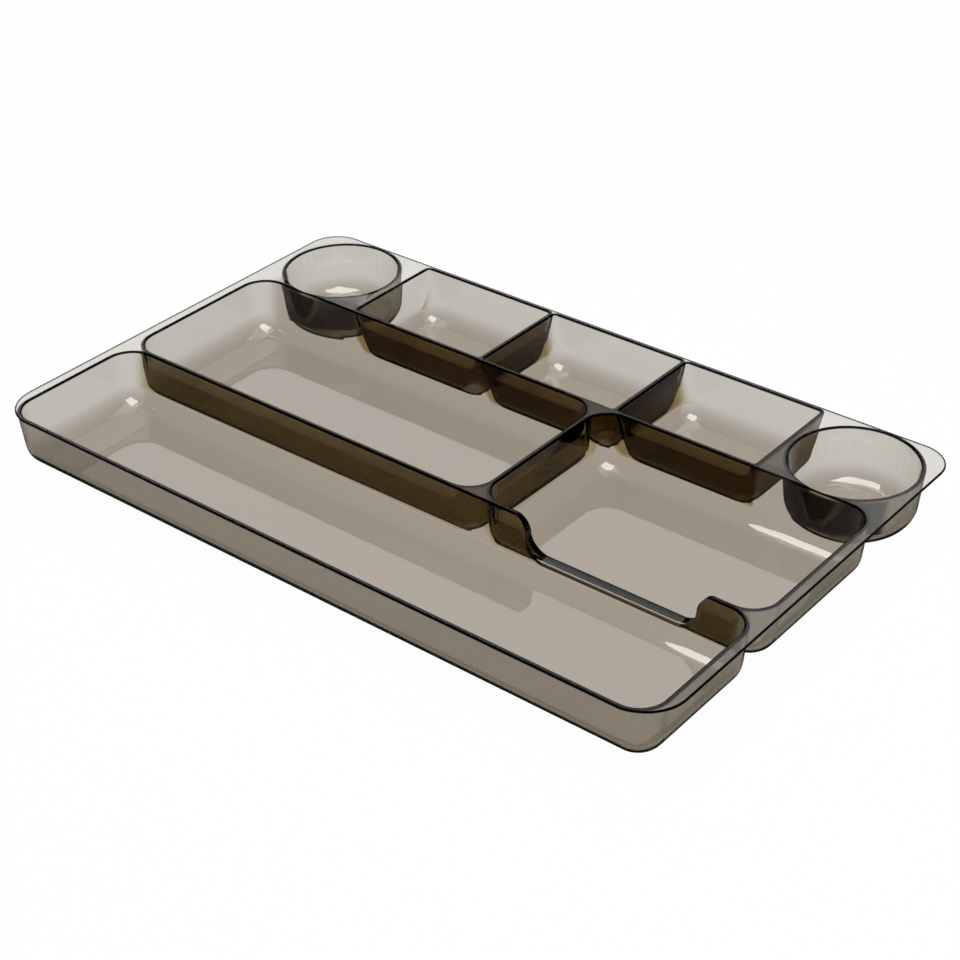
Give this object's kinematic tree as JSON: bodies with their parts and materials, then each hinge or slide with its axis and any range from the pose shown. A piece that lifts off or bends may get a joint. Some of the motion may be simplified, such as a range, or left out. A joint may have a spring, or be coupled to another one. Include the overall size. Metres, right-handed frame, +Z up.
{
  "type": "drawer organizer tray",
  "caption": "Shallow one-piece desk-drawer tray in clear smoke plastic: long pen trough, wide middle pockets with a finger scoop, square cells and round cups hung from a thin flange.",
  "frame": {"origin": "middle of the tray's footprint, on the plane of its flat floors' undersides", "axes": "+X along the tray's length to the right, +Y from the long trough at the front to the row of cells at the back, +Z up"},
  "size_m": [0.356, 0.221, 0.027],
  "materials": {
    "smoke_plastic": "clear smoke-brown, glossy as moulded"
  },
  "bodies": {
    "root": {"tray": "smoke_plastic"}
  },
  "joints": []
}
